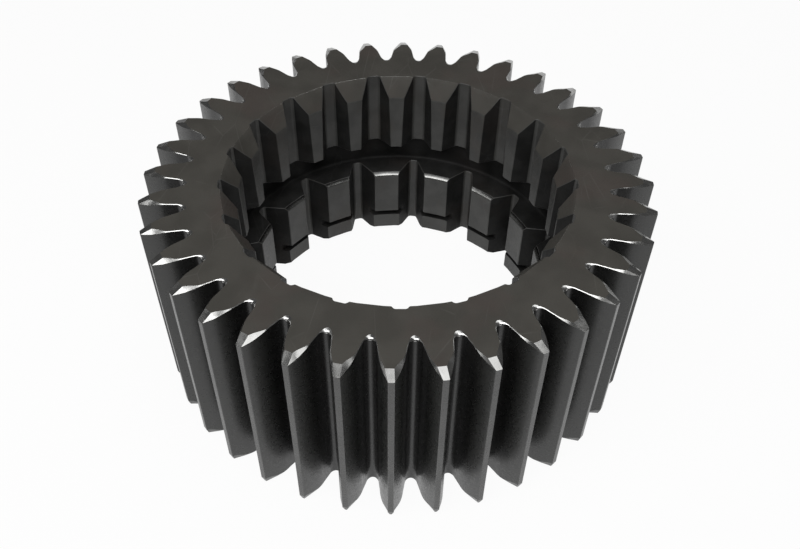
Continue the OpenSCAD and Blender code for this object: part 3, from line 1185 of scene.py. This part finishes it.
@dataclass
class Studio:
    """The floor with its wall, the lights, the sky and the camera, in metres."""

    floor_r: float = 3.0
    floor_sides: int = 72
    wall_h: float = 0.42
    floor_colour: Colour = (0.8, 0.8, 0.8)
    floor_glow: float = 0.94
    ambient: float = 0.1
    aim: tuple[float, float, float] = (0.0, 0.0, 0.035)
    softboxes: tuple[Softbox, ...] = (
        Softbox("overhead_softbox", at=(0.2, -0.02, 0.93), wide=1.0, high=0.42, power=2.7),
        Softbox("front_strip", at=(-0.14, -0.33, 0.56), wide=0.85, high=0.33, power=3.6))
    lens: float = 39.515
    sensor: float = 36.0
    camera_at: tuple[float, float, float] = (0.0009600, -0.2137600, 0.2437200)
    camera_tilt: float = math.radians(45.83)
    camera_roll: float = math.radians(0.82)
    camera_turn: float = math.radians(0.5954)

    def build_floor(self) -> None:
        """Makes the pale round floor and the low wall round it.

        Both are of plain white paint, which glows towards the camera and in reflections.
        """
        count = self.floor_sides
        turns = [k * math.tau / count for k in range(count)]
        rim = [(self.floor_r * math.cos(turn), self.floor_r * math.sin(turn)) for turn in turns]
        points = [(x, y, z) for z in (0.0, self.wall_h) for x, y in rim]
        wall = [(k, (k + 1) % count, count + (k + 1) % count, count + k) for k in range(count)]
        mesh = bpy.data.meshes.new("studio_floor")
        mesh.from_pydata(points, [], [tuple(range(count)), *wall])
        floor = bpy.data.objects.new("studio_floor", mesh)
        bpy.context.scene.collection.objects.link(floor)
        material = bpy.data.materials.new("floor_paint")
        material.use_nodes = True
        graph = Graph(material.node_tree)
        paint = graph.add("ShaderNodeBsdfPrincipled", None, Base_Color=(*self.floor_colour, 1.0),
                          Roughness=0.8, Specular_IOR_Level=0.1)
        glow = graph.add("ShaderNodeEmission", None, Color=(1.0, 1.0, 1.0, 1.0), Strength=1.0)
        share = graph.combine("MULTIPLY", self.seen_rays(graph), self.floor_glow)
        both = graph.add("ShaderNodeMixShader")
        for index, value in enumerate((share, paint.outputs["BSDF"], glow.outputs["Emission"])):
            graph.feed(both.inputs[index], value)
        graph.add("ShaderNodeOutputMaterial", None, Surface=both.outputs["Shader"])
        mesh.materials.append(material)

    def seen_rays(self, graph: Graph) -> bpy.types.NodeSocket:
        """Tells the rays of the camera, of reflections and of glass from the rest.

        Args:
            graph: Tree of the material.

        Returns:
            1 for those rays and 0 for the rest.
        """
        rays = graph.add("ShaderNodeLightPath").outputs
        shiny = graph.combine("MAXIMUM", rays["Is Glossy Ray"], rays["Is Transmission Ray"])
        return graph.combine("MAXIMUM", rays["Is Camera Ray"], shiny)

    def build_sky(self) -> None:
        """Makes the grey surroundings, which the steel reflects beside the lamps."""
        world = bpy.data.worlds.new("studio_sky")
        world.use_nodes = True
        graph = Graph(world.node_tree)
        sky = graph.add("ShaderNodeBackground", None, Color=(1.0, 1.0, 1.0, 1.0), Strength=self.ambient)
        graph.add("ShaderNodeOutputWorld", None, Surface=sky.outputs["Background"])
        bpy.context.scene.world = world

    def build_softbox(self, box: Softbox) -> None:
        """Makes a soft light and points it at the gear.

        Args:
            box: The light's sizes and power.
        """
        light = bpy.data.lights.new(box.name, "AREA")
        light.shape = "RECTANGLE"
        light.size = box.wide
        light.size_y = box.high
        light.energy = box.power
        lamp = bpy.data.objects.new(box.name, light)
        lamp.location = box.at
        lamp.rotation_euler = (Vector(self.aim) - Vector(box.at)).to_track_quat("-Z", "Y").to_euler()
        bpy.context.scene.collection.objects.link(lamp)

    def build_camera(self) -> None:
        """Places the camera: turned about the vertical, tilted down, then rolled about its view."""
        data = bpy.data.cameras.new("photo_camera")
        data.sensor_width = self.sensor
        data.lens = self.lens
        data.clip_start = 0.01
        camera = bpy.data.objects.new("photo_camera", data)
        turn = Matrix.Rotation(self.camera_turn, 4, "Z")
        tilt = Matrix.Rotation(QUARTER_TURN - self.camera_tilt, 4, "X")
        roll = Matrix.Rotation(self.camera_roll, 4, "Z")
        camera.matrix_world = turn @ Matrix.Translation(self.camera_at) @ tilt @ roll
        bpy.context.scene.collection.objects.link(camera)
        bpy.context.scene.camera = camera

    def build(self) -> None:
        """Sets up the whole studio."""
        bpy.context.scene.view_settings.view_transform = "Standard"
        self.build_floor()
        self.build_sky()
        for box in self.softboxes:
            self.build_softbox(box)
        self.build_camera()


def main() -> None:
    """Builds the gear, dresses it, and sets up the floor, the lights and the camera."""
    logging.basicConfig(level=logging.INFO, format="%(name)s: %(message)s")
    for leftover in list(bpy.data.objects):
        bpy.data.objects.remove(leftover)
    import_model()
    gear = Gear().build()
    SteelShop().dress(gear)
    LOG.info("%s: %d faces", gear.name, len(gear.data.polygons))
    Studio().build()


if __name__ == "__main__":
    main()
